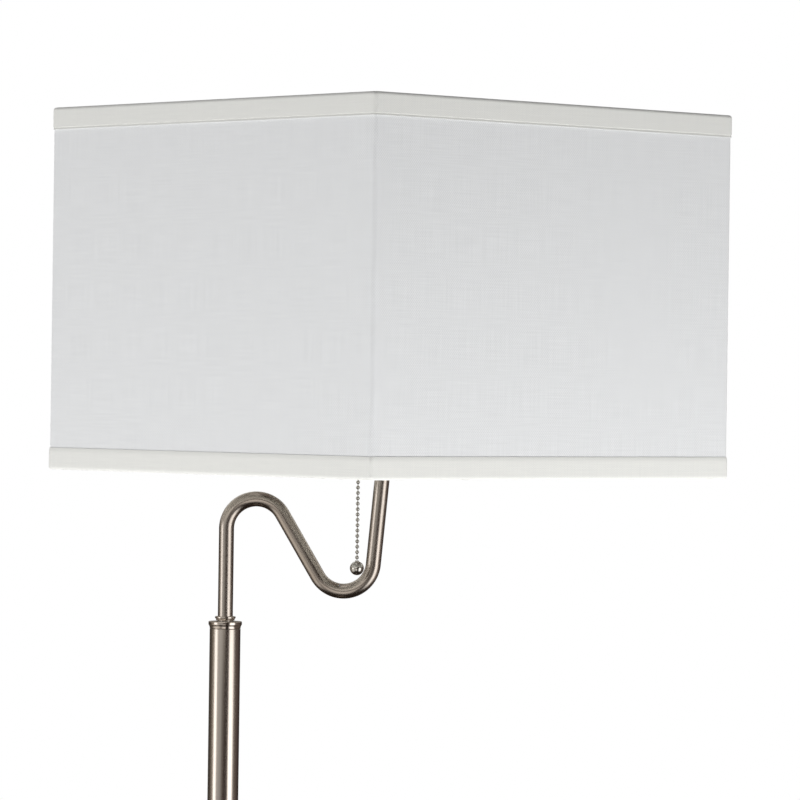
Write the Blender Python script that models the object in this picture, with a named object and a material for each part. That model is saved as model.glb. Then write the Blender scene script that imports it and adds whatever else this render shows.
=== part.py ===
"""Pharmacy floor lamp: a weighted round base, a two-piece pole, an S-bent arm that slides and swivels in it,
a pull-chain socket with a harp and bulb, and a square linen shade held by a finial.

Metres, +Z up. The origin is the centre of the felt under the base, and the arm reaches out along +X.
"""

import math

import bmesh
import bpy
from mathutils import Vector

# Driving dimensions.
GAP = 0.0003                    # clearance between pieces that touch on the real lamp
SHADE_SIDE = 0.4064             # 16 inches
SHADE_HEIGHT = 0.305            # 12 inches
SHADE_TOP = 1.500               # overall height, with the arm as drawn
SHADE_BOTTOM = SHADE_TOP - SHADE_HEIGHT
HEAD_TURN = math.radians(45)    # the shade, harp and chain outlet stand at 45 degrees to the arm

BASE_RADIUS = 0.127             # 10 inches across
BASE_TOP = 0.0265
SHEET = 0.0012                  # pressed steel of the base cover and wall of the pole
FELT_THICKNESS = 0.002

POLE_RADIUS = 0.013
POLE_SPLIT = 0.550              # where the two lengths of pole screw together
POLE_TOP = 1.0632
THREAD_RADIUS = 0.0049          # the hollow threaded rod that lamp makers use throughout
THREAD_BORE = 0.0033

STEM_RADIUS = 0.00635           # half-inch tube
STEM_WALL = 0.001
STEM_FOOT = 0.838               # lower end of the stem, inside the pole
BEND_START = 1.1474             # where the stem leaves the vertical
BEND_RADIUS = 0.0252
SLOPE = math.radians(59.5)      # the middle run falls this far below the horizontal
SLOPE_LENGTH = 0.0600
LEG_LEAN = math.radians(5.1)    # the last leg leans this far off the vertical
TOP_BEND = 0.060                # radius of the slight bend that sets its end upright
UPRIGHT_END = 0.0095            # that end, which takes the threaded rod
ARM_TOP = 1.247

SWITCH_LIFT = 0.0177            # levels of the head, above the end of the arm
BELL_LIFT = 0.036
SHELL_TOP_LIFT = 0.066
HARP_WIRE = 0.0018
HARP_LEG = 0.0285               # half the distance between the harp's legs
HARP_BULGE = 0.050
HARP_SEAT_LIFT = 0.2276         # where the shade's spider rests
CHAIN_OFFSET = 0.0325           # from the socket's axis to the hanging chain
BEAD_RADIUS = 0.0016
BEAD_PITCH = 0.0045
CHAIN_TOP = 0.0330              # the highest bead inside the bell, above the end of the arm
TOP_BEADS = 4                   # beads that slide in the bell, above the one that tips
RUN_BEADS = 30                  # beads of the long run, below the one that tips
LEVER_AXIS = (-0.0040, 0.0265)  # the switch lever's pin, as (x, z) from the end of the arm
LEVER_LENGTH = 0.0100
LEVER_SWING = math.radians(50)  # the lever starts half of this behind the vertical and ends half past it
BALL_RADIUS = 0.0059
TRIM_HEIGHT = 0.0185
TRIM_FOLD = 0.0080              # how far the bottom tape is folded up inside
TAPE = 0.0006
SHADE_WIRE = 0.0016
BULB_RADIUS = 0.030


# Tools of the shop.

def clear_scene():
    for old in list(bpy.data.objects):
        bpy.data.objects.remove(old, do_unlink=True)


def material(name, colour, roughness, metallic=0.0):
    made = bpy.data.materials.new(name)
    made.use_nodes = True
    shader = made.node_tree.nodes["Principled BSDF"]
    shader.inputs["Base Color"].default_value = (*colour, 1.0)
    shader.inputs["Roughness"].default_value = roughness
    shader.inputs["Metallic"].default_value = metallic
    return made


def pivot(name, location, parent=None, turn=0.0):
    """An empty on the axis of a moving body."""
    empty = bpy.data.objects.new(name, None)
    bpy.context.collection.objects.link(empty)
    empty.location = location
    empty.rotation_euler = (0, 0, turn)
    empty.parent = parent
    return empty


def add(name, data, finish, parent=None, location=(0, 0, 0)):
    obj = bpy.data.objects.new(name, data)
    bpy.context.collection.objects.link(obj)
    obj.location = location
    obj.parent = parent
    data.materials.append(finish)
    return obj


def mesh_from(name, bm, smooth=True):
    bmesh.ops.recalc_face_normals(bm, faces=bm.faces)
    mesh = bpy.data.meshes.new(name)
    bm.to_mesh(mesh)
    bm.free()
    if smooth:
        mesh.shade_smooth()
        mesh.set_sharp_from_angle(angle=math.radians(35))
    return mesh


def turned(name, outline, finish, parent=None, location=(0, 0, 0), segments=24):
    """A lathe piece: the outline of (radius, height) points is spun about Z.
    An outline that starts and ends on the axis makes a solid piece, and any other makes a ring."""
    bm = bmesh.new()
    corners = [bm.verts.new((radius, 0, height)) for radius, height in outline]
    pairs = list(zip(corners, corners[1:]))
    if outline[0][0] > 0:
        pairs.append((corners[-1], corners[0]))
    edges = [bm.edges.new(pair) for pair in pairs]
    bmesh.ops.spin(bm, geom=corners + edges, cent=(0, 0, 0), axis=(0, 0, 1),
                   angle=2 * math.pi, steps=segments, use_merge=True)
    bmesh.ops.remove_doubles(bm, verts=bm.verts, dist=1e-7)
    return add(name, mesh_from(name, bm), finish, parent, location)


def ring_outline(inner, outer, low, high):
    return [(inner, low), (outer, low), (outer, high), (inner, high)]


def extruded(name, outline, low, high, finish, parent=None, location=(0, 0, 0), across=False):
    """A flat outline given a thickness: along Z, or along X where the outline lies in YZ."""
    bm = bmesh.new()
    if across:
        corners = [bm.verts.new((low, a, b)) for a, b in outline]
        depth = (high - low, 0, 0)
    else:
        corners = [bm.verts.new((a, b, low)) for a, b in outline]
        depth = (0, 0, high - low)
    face = bm.faces.new(corners)
    grown = bmesh.ops.extrude_face_region(bm, geom=[face])
    moved = [item for item in grown["geom"] if isinstance(item, bmesh.types.BMVert)]
    bmesh.ops.translate(bm, verts=moved, vec=depth)
    return add(name, mesh_from(name, bm, smooth=False), finish, parent, location)


def rounded_square(half, corner, steps=3):
    """The outline of a square with rounded corners, anticlockwise."""
    points = []
    for quarter in range(4):
        centre = Vector((half - corner, half - corner))
        for step in range(steps + 1):
            angle = math.pi / 2 * step / steps
            at = centre + corner * Vector((math.cos(angle), math.sin(angle)))
            turn = quarter * math.pi / 2
            points.append((at.x * math.cos(turn) - at.y * math.sin(turn),
                           at.x * math.sin(turn) + at.y * math.cos(turn)))
    return points


def square_band(name, profile, finish, parent=None):
    """A band round a square. The closed profile's points are (half side, height, corner radius)."""
    bm = bmesh.new()
    loops = []
    for half, height, corner in profile:
        loops.append([bm.verts.new((x, y, height)) for x, y in rounded_square(half, corner)])
    for first, second in zip(loops, loops[1:] + loops[:1]):
        bridge(bm, first, second)
    return add(name, mesh_from(name, bm), finish, parent)


def bridge(bm, first, second):
    """A strip of faces between two closed loops of as many points."""
    for k in range(len(first)):
        n = (k + 1) % len(first)
        bm.faces.new((first[k], first[n], second[n], second[k]))


def wall_profile(half, wall, low, high, corner):
    """The profile of a plain wall for square_band."""
    return [(half, low, corner), (half, high, corner), (half - wall, high, corner - wall),
            (half - wall, low, corner - wall)]


def wire(name, points, radius, finish, parent=None, location=(0, 0, 0), closed=False, roundness=2):
    """Round wire along a line of points."""
    curve = bpy.data.curves.new(name, "CURVE")
    curve.dimensions = "3D"
    curve.bevel_depth = radius
    curve.bevel_resolution = roundness
    curve.use_fill_caps = not closed
    spline = curve.splines.new("POLY")
    spline.points.add(len(points) - 1)
    for point, co in zip(spline.points, points):
        point.co = (*co, 1.0)
    spline.use_cyclic_u = closed
    return add(name, curve, finish, parent, location)


def meshed(obj):
    """Turns a curve object into a mesh object of the same name, so that a Boolean can use it."""
    graph = bpy.context.evaluated_depsgraph_get()
    mesh = bpy.data.meshes.new_from_object(obj.evaluated_get(graph))
    bm = bmesh.new()
    bm.from_mesh(mesh)
    bmesh.ops.remove_doubles(bm, verts=bm.verts, dist=1e-6)
    bmesh.ops.recalc_face_normals(bm, faces=bm.faces)
    bm.to_mesh(mesh)
    bm.free()
    solid = bpy.data.objects.new(obj.name, mesh)
    bpy.context.collection.objects.link(solid)
    solid.location = obj.location
    solid.parent = obj.parent
    name = obj.name
    bpy.data.objects.remove(obj, do_unlink=True)
    solid.name = name
    return solid


def combine(obj, other, operation):
    """A live Boolean. The other shape becomes a helper that isn't a piece of the lamp."""
    other.hide_render = True
    other.display_type = "WIRE"
    modifier = obj.modifiers.new(operation.title(), "BOOLEAN")
    modifier.operation = operation
    modifier.object = other
    modifier.solver = "EXACT"
    return obj


def cylinder_cutter(name, radius, length, location, rotation=(0, 0, 0), parent=None, segments=24):
    bm = bmesh.new()
    bmesh.ops.create_cone(bm, cap_ends=True, segments=segments, radius1=radius, radius2=radius, depth=length)
    cutter = bpy.data.objects.new(name, mesh_from(name, bm))
    bpy.context.collection.objects.link(cutter)
    cutter.location = location
    cutter.rotation_euler = rotation
    cutter.parent = parent
    return cutter


def box_cutter(name, low, high, parent=None):
    bm = bmesh.new()
    bmesh.ops.create_cube(bm, size=1.0)
    size = [b - a for a, b in zip(low, high)]
    bmesh.ops.scale(bm, vec=size, verts=bm.verts)
    cutter = bpy.data.objects.new(name, mesh_from(name, bm, smooth=False))
    bpy.context.collection.objects.link(cutter)
    cutter.location = [(a + b) / 2 for a, b in zip(low, high)]
    cutter.parent = parent
    return cutter


def hex_nut(name, flats, low, high, bore, finish, parent=None):
    reach = flats / 2 / math.cos(math.pi / 6)
    corners = [(reach * math.cos(k * math.pi / 3), reach * math.sin(k * math.pi / 3)) for k in range(6)]
    nut = extruded(name, corners, low, high, finish, parent)
    middle = (0, 0, (low + high) / 2)
    return combine(nut, cylinder_cutter(name + "_bore", bore, 3 * (high - low), middle, parent=parent), "DIFFERENCE")


# Routes that pieces follow.

def arm_route():
    """The arm's centreline in XZ: up the stem, over, down the slope, round, up the leaning leg, and upright."""
    points = [(0.0, STEM_FOOT), (0.0, BEND_START)]
    heading = math.pi / 2
    here = Vector(points[-1])

    def bend(radius, turn, steps):
        """An arc. A positive turn is anticlockwise, and the heading turns with it."""
        nonlocal heading, here
        side = math.copysign(1.0, turn)
        centre = here + side * radius * Vector((-math.sin(heading), math.cos(heading)))
        for _ in range(steps):
            heading += turn / steps
            here = centre - side * radius * Vector((-math.sin(heading), math.cos(heading)))
            points.append(tuple(here))

    bend(BEND_RADIUS, -(math.pi / 2 + SLOPE), 14)
    here = here + SLOPE_LENGTH * Vector((math.cos(heading), math.sin(heading)))
    points.append(tuple(here))
    bend(BEND_RADIUS, SLOPE + math.pi / 2 - LEG_LEAN, 14)
    rise = ARM_TOP - UPRIGHT_END - TOP_BEND * math.sin(LEG_LEAN) - here.y
    here = here + rise * Vector((math.tan(LEG_LEAN), 1.0))
    points.append(tuple(here))
    bend(TOP_BEND, LEG_LEAN, 3)
    points.append((here.x, ARM_TOP))
    return points


def harp_route():
    """Half of the harp, from the foot of one leg to the middle of its top, as (half width, height)."""
    knots = [(HARP_LEG, 0.0287), (HARP_LEG, 0.050), (HARP_LEG + 0.0035, 0.058), (HARP_BULGE - 0.006, 0.076),
             (HARP_BULGE, 0.098), (HARP_BULGE, 0.150), (HARP_BULGE - 0.006, 0.182), (0.032, 0.206),
             (0.016, 0.2180), (0.005, 0.2205)]
    return smooth_line(knots, 3)


def smooth_line(knots, steps):
    """A Catmull-Rom curve through the knots, with this many steps between each two."""
    knots = [Vector(k) for k in knots]
    padded = [2 * knots[0] - knots[1]] + knots + [2 * knots[-1] - knots[-2]]
    line = []
    for a, b, c, d in zip(padded, padded[1:], padded[2:], padded[3:]):
        for step in range(steps):
            t = step / steps
            at = 0.5 * (2 * b + (c - a) * t + (2 * a - 5 * b + 4 * c - d) * t ** 2 + (3 * b - a - 3 * c + d) * t ** 3)
            line.append(tuple(at))
    return line + [tuple(knots[-1])]


def swept_tube(name, route, walls, finish, parent=None, location=(0, 0, 0), sides=16):
    """A hollow tube along a route in XZ. Each station has an outer and an inner ring, with its own pair of radii."""
    bm = bmesh.new()
    stations = []
    for k, ((x, z), radii) in enumerate(zip(route, walls)):
        before = Vector(route[max(k - 1, 0)])
        after = Vector(route[min(k + 1, len(route) - 1)])
        along = (after - before).normalized()
        sideways = Vector((along.y, 0, -along.x))
        rings = []
        for radius in radii:
            ring = []
            for side in range(sides):
                angle = 2 * math.pi * side / sides
                out = sideways * math.cos(angle) + Vector((0, math.sin(angle), 0))
                ring.append(bm.verts.new(Vector((x, 0, z)) + radius * out))
            rings.append(ring)
        stations.append(rings)
    for one, two in zip(stations, stations[1:]):
        for which in (0, 1):
            bridge(bm, one[which], two[which])
    for outer, inner in (stations[0], stations[-1]):
        bridge(bm, outer, inner)
    return add(name, mesh_from(name, bm), finish, parent, location)


ARM_ROUTE = arm_route()
ARM_REACH = ARM_ROUTE[-1][0]


# The pieces, from the floor up.

def build_base(nickel, iron, felt, steel, rubber):
    turned("base_felt", [(0, 0), (0.1215, 0), (0.1215, FELT_THICKNESS), (0, FELT_THICKNESS)], felt, segments=40)

    top = BASE_TOP
    edge = 0.0185
    inner = BASE_RADIUS - SHEET
    cover = [(BASE_RADIUS, 0.001), (BASE_RADIUS, edge - 0.005), (BASE_RADIUS - 0.0015, edge - 0.0015),
             (BASE_RADIUS - 0.005, edge), (0.100, edge + 0.0024), (0.060, edge + 0.0056), (0.022, top - 0.0003),
             (0.0053, top), (0.0053, top - SHEET), (0.022, top - 0.0003 - SHEET), (0.060, edge + 0.0056 - SHEET),
             (0.100, edge + 0.0024 - SHEET), (BASE_RADIUS - 0.0055, edge - SHEET),
             (inner - 0.0013, edge - 0.0021), (inner, edge - 0.005), (inner, 0.001)]
    shell = turned("base_cover", cover, nickel, segments=48)

    low = FELT_THICKNESS + GAP
    weight = turned("base_weight",
                    [(0.022, low), (0.1235, low), (0.1235, 0.0120), (0.118, 0.0160), (0.100, 0.0188),
                     (0.060, 0.0220), (0.022, 0.0242), (0.0056, 0.0246), (0.0056, 0.0170), (0.022, 0.0170)],
                    iron, segments=36)
    outlet = 0.0085
    combine(weight, box_cutter("cord_channel", (-0.130, -0.0045, -0.001), (-0.018, 0.0045, 0.0125)), "DIFFERENCE")
    hole = cylinder_cutter("grommet_hole", 0.0047, 0.012, (-BASE_RADIUS, 0, outlet), (0, math.pi / 2, 0))
    combine(shell, hole, "DIFFERENCE")
    grommet = turned("cord_grommet",
                     [(0.0030, 0.0), (0.0044, 0.0), (0.0044, 0.0018), (0.0060, 0.0018), (0.0060, 0.0030),
                      (0.0050, 0.0042), (0.0030, 0.0042)], rubber, segments=16)
    grommet.location = (-BASE_RADIUS + 0.0012, 0, outlet)
    grommet.rotation_euler = (0, -math.pi / 2, 0)

    turned("base_rod", ring_outline(THREAD_BORE, THREAD_RADIUS, 0.0095, 0.0580), steel)
    turned("base_washer", ring_outline(THREAD_RADIUS + GAP, 0.0100, 0.0155, 0.0167), steel)
    hex_nut("base_nut", 0.0143, 0.0112, 0.0152, THREAD_RADIUS + GAP, steel)


def build_pole(nickel, steel):
    """The pole stands in a turned foot, and its two lengths screw together over a short threaded rod."""
    seat = BASE_TOP + GAP
    turned("pole_foot",
           [(0.0052, seat), (0.0195, seat), (0.0195, seat + 0.0028), (0.0185, seat + 0.0038), (0.0165, seat + 0.0052),
            (0.0152, seat + 0.0078), (0.0149, seat + 0.0120), (0.0142, seat + 0.0127), (0.0133, seat + 0.0127),
            (0.0133, seat + 0.0077), (0.0052, seat + 0.0077)], nickel, segments=24)
    foot = seat + 0.0080
    bore = POLE_RADIUS - SHEET
    turned("lower_pole", ring_outline(bore, POLE_RADIUS, foot, POLE_SPLIT - GAP / 2), nickel, segments=32)
    turned("upper_pole", ring_outline(bore, POLE_RADIUS, POLE_SPLIT + GAP / 2, POLE_TOP - GAP), nickel, segments=32)
    plugs = {"foot_plug": (foot + GAP, 0.060), "lower_joint_plug": (POLE_SPLIT - 0.020, POLE_SPLIT - 0.0006),
             "upper_joint_plug": (POLE_SPLIT + 0.0006, POLE_SPLIT + 0.020)}
    for name, (low, high) in plugs.items():
        turned(name, ring_outline(THREAD_RADIUS + GAP, bore - GAP, low, high), steel)
    turned("joint_rod", ring_outline(THREAD_BORE, THREAD_RADIUS, POLE_SPLIT - 0.018, POLE_SPLIT + 0.018), steel)
    turned("pole_cap",
           [(0.0078, -0.012), (bore - GAP, -0.012), (bore - GAP, 0.0), (0.0131, 0.0), (0.0134, 0.0014),
            (0.0140, 0.0026), (0.0141, 0.0031), (0.0141, 0.0060), (0.0138, 0.0065), (0.0078, 0.0065)],
           nickel, location=(0, 0, POLE_TOP), segments=24)


def build_swivel(nickel, nylon):
    """The ring and the bush that grip the stem, and turn with it in the pole's cap."""
    axis = pivot("swivel_axis", (0, 0, POLE_TOP))
    turned("stem_collar",
           [(0.0066, 0.0068), (0.0078, 0.0068), (0.0080, 0.0083), (0.0087, 0.0086), (0.0087, 0.0098),
            (0.0083, 0.0102), (0.0066, 0.0102)], nickel, axis)
    turned("friction_bush", ring_outline(0.0065, 0.0075, -0.014, 0.0062), nylon, axis)
    return axis


def build_arm(nickel, nylon, steel, swivel):
    slide = pivot("slide_axis", (0, 0, 0), swivel)
    base = Vector((0, 0, -POLE_TOP))
    walls = [(STEM_RADIUS, STEM_RADIUS - STEM_WALL)] * len(ARM_ROUTE)
    swept_tube("arm_tube", ARM_ROUTE, walls, nickel, slide, base)
    turned("stem_stop", ring_outline(STEM_RADIUS + GAP, 0.0113, 0.002, 0.016), nylon, slide,
           base + Vector((0, 0, STEM_FOOT)))
    head = pivot("head_axis", base + Vector((ARM_REACH, 0, ARM_TOP)), slide, HEAD_TURN)
    turned("arm_rod", ring_outline(THREAD_BORE, THREAD_RADIUS, -0.009, 0.0160), steel, head)
    turned("check_ring", ring_outline(THREAD_RADIUS + GAP, 0.0095, 0.0003, 0.0023), nickel, head)
    return head


def build_saddle(steel, head):
    """The bent strip under the socket, with a narrow tongue at each end for the harp."""
    low = 0.0026
    sheet = 0.0015
    strip = []
    for side in (1, -1):
        outer = [(0.018, low), (0.0255, low + 0.0030), (HARP_LEG + sheet / 2, low + 0.0100),
                 (HARP_LEG + sheet / 2, 0.0210), (HARP_LEG - sheet / 2, 0.0210),
                 (HARP_LEG - sheet / 2, low + 0.0108), (0.0246, low + 0.0043), (0.018, low + sheet)]
        part = [(side * y, z) for y, z in outer]
        strip += part if side > 0 else part[::-1]
    saddle = extruded("harp_saddle", strip, -0.0055, 0.0055, steel, head, across=True)
    for side in (1, -1):
        tongue = extruded(f"saddle_tongue_{side}", [(side * (HARP_LEG - sheet / 2), 0.019),
                                                    (side * (HARP_LEG + sheet / 2), 0.019),
                                                    (side * (HARP_LEG + sheet / 2), 0.028),
                                                    (side * (HARP_LEG - sheet / 2), 0.028)],
                          -0.0015, 0.0015, steel, head, across=True)
        combine(saddle, tongue, "UNION")
    bore = cylinder_cutter("saddle_bore", THREAD_RADIUS + GAP, 0.02, (0, 0, low), parent=head)
    combine(saddle, bore, "DIFFERENCE")
    hex_nut("saddle_nut", 0.0143, low + sheet + GAP, 0.0073, THREAD_RADIUS + GAP, steel, head)


def build_socket(nickel, steel, brass, phenolic, fibre, head):
    """Cap, shell and liner around the switch body, the threaded shell and its contacts."""
    turned("socket_cap",
           [(0.0053, 0.0077), (0.0075, 0.0077), (0.0079, 0.0105), (0.0120, 0.0125), (0.0160, 0.0155),
            (0.0172, 0.0190), (0.0172, 0.0290), (0.0167, 0.0290), (0.0167, 0.0193), (0.0154, 0.0163),
            (0.0118, 0.0133), (0.0072, 0.0116), (0.0053, 0.0116)], nickel, head)
    top = SHELL_TOP_LIFT
    shell = turned("socket_shell",
                   [(0.0158, 0.0215), (0.0164, 0.0215), (0.0164, top - 0.0100), (0.0170, top - 0.0085),
                    (0.0164, top - 0.0070), (0.0164, top - 0.0015), (0.0170, top), (0.0158, top)],
                   nickel, head)
    liner = turned("socket_liner", ring_outline(0.0150, 0.0155, 0.0225, top - 0.003), fibre, head)
    body = turned("switch_body", [(0, SWITCH_LIFT), (0.0145, SWITCH_LIFT), (0.0145, 0.0385), (0, 0.0385)],
                  phenolic, head)
    along = (0, math.pi / 2, 0)
    for index, piece in enumerate((shell, liner)):
        hole = cylinder_cutter(f"bell_hole_{index}", 0.0034, 0.010, (-0.0165, 0, BELL_LIFT), along, head, 16)
        combine(piece, hole, "DIFFERENCE")
    combine(body, box_cutter("lever_slot", (-0.016, -0.0018, 0.0200), (0.0040, 0.0018, 0.0400), head), "DIFFERENCE")
    pin_place = (LEVER_AXIS[0], 0, LEVER_AXIS[1])
    pin_hole = cylinder_cutter("pin_hole", 0.0014, 0.016, pin_place, (math.pi / 2, 0, 0), head, 12)
    combine(body, pin_hole, "DIFFERENCE")
    for side in (-1, 1):
        hole = cylinder_cutter(f"terminal_hole_{side}", 0.0019, 0.010, (0.0075, side * 0.0062, SWITCH_LIFT),
                               (0, 0, 0), head, 12)
        combine(body, hole, "DIFFERENCE")
    for name, side in (("terminal_screw_live", -1), ("terminal_screw_neutral", 1)):
        turned(name, [(0, -0.0023), (0.0028, -0.0023), (0.0028, -GAP), (0.0016, -GAP), (0.0016, 0.0045), (0, 0.0045)],
               brass, head, (0.0075, side * 0.0062, SWITCH_LIFT), segments=12)
    pin = turned("lever_pin", [(0, -0.0072), (0.0011, -0.0072), (0.0011, 0.0072), (0, 0.0072)], steel, head,
                 pin_place, segments=10)
    pin.rotation_euler = (math.pi / 2, 0, 0)
    turned("screw_shell",
           [(0.0068, 0.0390), (0.0142, 0.0390), (0.0142, 0.0620), (0.0138, 0.0620), (0.0138, 0.0394),
            (0.0068, 0.0394)], brass, head)
    turned("center_contact", [(0, 0.0388), (0.0045, 0.0388), (0.0045, 0.0396), (0.0020, 0.0410), (0, 0.0410)],
           brass, head, segments=12)


def build_bell(nickel, head):
    """The elbow on the socket's side that guides the chain: out, down, and flared at its mouth."""
    turn = 0.0055
    route = [(-0.0150, BELL_LIFT), (-(CHAIN_OFFSET - turn), BELL_LIFT)]
    for step in range(1, 6):
        angle = math.pi / 2 * step / 5
        route.append((-(CHAIN_OFFSET - turn) - turn * math.sin(angle), BELL_LIFT - turn * (1 - math.cos(angle))))
    walls = [(0.0028, 0.0021)] * (len(route) + 1)
    flare = [(0.0182, 0.0031, 0.0022), (0.0172, 0.0038, 0.0029), (0.0166, 0.0042, 0.0036)]
    route += [(-CHAIN_OFFSET, 0.0190)] + [(-CHAIN_OFFSET, height) for height, _, _ in flare]
    walls += [(outer, inner) for _, outer, inner in flare]
    swept_tube("chain_bell", route, walls, nickel, head, sides=12)


def build_lever(steel, head):
    """The switch lever that the chain tips over. It stands in the switch body's slot."""
    axis = pivot("lever_axis", (LEVER_AXIS[0], 0, LEVER_AXIS[1]), head)
    lean = LEVER_SWING / 2
    outline = [(-0.0011, LEVER_LENGTH), (-0.0022, 0.0), (0.0, -0.0022), (0.0022, 0.0), (0.0011, LEVER_LENGTH)]
    leaning = [(x * math.cos(lean) + z * math.sin(lean), z * math.cos(lean) - x * math.sin(lean)) for x, z in outline]
    lever = extruded("switch_lever", leaning, -0.0010, 0.0010, steel, axis)
    lever.rotation_euler = (math.pi / 2, 0, 0)
    hole = cylinder_cutter("lever_hole", 0.00135, 0.01, (0, 0, 0), (math.pi / 2, 0, 0), axis, 12)
    combine(lever, hole, "DIFFERENCE")


def build_harp(nickel, steel, head):
    """The wire loop over the bulb, its seat and stud, and the two sleeves that lock its legs."""
    half = harp_route()
    line = [(0, -y, z) for y, z in half] + [(0, y, z) for y, z in reversed(half)]
    harp = meshed(wire("harp", line, HARP_WIRE, nickel, head))
    turned("harp_stud",
           [(0, 0.2226), (0.0060, 0.2226), (0.0068, 0.2240), (0.0068, HARP_SEAT_LIFT - GAP),
            (0.0030, HARP_SEAT_LIFT - GAP), (0.0030, HARP_SEAT_LIFT + 0.0135), (0, HARP_SEAT_LIFT + 0.0142)],
           nickel, head, segments=20)
    for name, side in (("harp_sleeve_left", -1), ("harp_sleeve_right", 1)):
        axis = pivot(name + "_axis", (0, side * HARP_LEG, 0), head)
        turned(name,
               [(0.0024, 0.0214), (0.0036, 0.0214), (0.0036, 0.0228), (0.0031, 0.0236), (0.0031, 0.0370),
                (0.0024, 0.0370)], nickel, axis, segments=16)
    return harp


def build_bulb(glass, nickel_plate, brass, head):
    """A plain round lamp bulb in the socket: contact button, screw cap and glass."""
    axis = pivot("bulb_axis", (0, 0, 0.0410 + GAP), head)
    turned("bulb_contact", [(0, 0), (0.0030, 0), (0.0045, 0.0018), (0, 0.0018)], brass, axis, segments=16)
    turned("bulb_cap",
           [(0, 0.0021), (0.0060, 0.0021), (0.0110, 0.0050), (0.0130, 0.0060), (0.0130, 0.0240), (0.0128, 0.0262),
            (0.0118, 0.0262), (0.0118, 0.0070), (0, 0.0070)], nickel_plate, axis, segments=24)
    neck = 0.0266
    middle = neck + 0.0560
    outer = [(0.0125, neck), (0.0136, neck + 0.008), (0.0165, neck + 0.020), (0.0215, neck + 0.033),
             (0.0270, neck + 0.045)]
    outer += [(BULB_RADIUS * math.cos(a), middle + BULB_RADIUS * math.sin(a))
              for a in [math.radians(d) for d in (-5, 15, 35, 55, 75)]]
    outer += [(0, middle + BULB_RADIUS)]
    wall = 0.0008
    inner = [(max(r - wall, 0.0), z - (wall if z > middle else 0)) for r, z in reversed(outer)]
    glass_outline = outer + inner
    turned("bulb_glass", glass_outline[::-1], glass, axis, segments=20)


def bead_outline(count, top):
    """Beads threaded on a wire, from the top down, as a closed outline for the lathe."""
    link = 0.0006
    outline = []
    for k in range(count):
        middle = top - BEAD_RADIUS - k * BEAD_PITCH
        for degrees in (68, 25, -25, -68):
            angle = math.radians(degrees)
            outline.append((BEAD_RADIUS * math.cos(angle), middle + BEAD_RADIUS * math.sin(angle)))
    first = outline[0]
    last = outline[-1]
    return [(0, first[1] + link)] + outline + [(0, last[1] - link)]


def build_chain(nickel, head):
    """The chain in rigid lengths: one inside the socket, one sliding in the bell, a bead that tips, and the long run."""
    inner = turned("chain_inside", bead_outline(3, 0), nickel, pivot("chain_inside_axis", (0, 0, BELL_LIFT), head),
                   (-0.0026, 0, 0), segments=8)
    inner.rotation_euler = (0, math.pi / 2, 0)

    slide = pivot("chain_slide_axis", (-CHAIN_OFFSET, 0, CHAIN_TOP), head)
    turned("chain_top", bead_outline(TOP_BEADS, 0), nickel, slide, segments=8)
    first_link = -TOP_BEADS * BEAD_PITCH
    slack = BEAD_PITCH / 2 - BEAD_RADIUS
    tip = pivot("chain_tip_axis", (0, 0, first_link + slack), slide)
    turned("chain_bead", bead_outline(1, -slack), nickel, tip, segments=8)
    run = pivot("chain_run_axis", (0, 0, -BEAD_PITCH), tip)
    turned("pull_chain", bead_outline(RUN_BEADS, -slack), nickel, run, segments=8)
    ball = -slack - RUN_BEADS * BEAD_PITCH - BALL_RADIUS - 0.0002
    outline = [(0, ball - BALL_RADIUS)]
    outline += [(BALL_RADIUS * math.cos(a), ball + BALL_RADIUS * math.sin(a))
                for a in [math.radians(d) for d in range(-75, 76, 25)]]
    outline += [(0.0016, ball + BALL_RADIUS + 0.0006), (0, ball + BALL_RADIUS + 0.0006)]
    turned("pull_ball", outline, nickel, run, segments=16)


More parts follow.
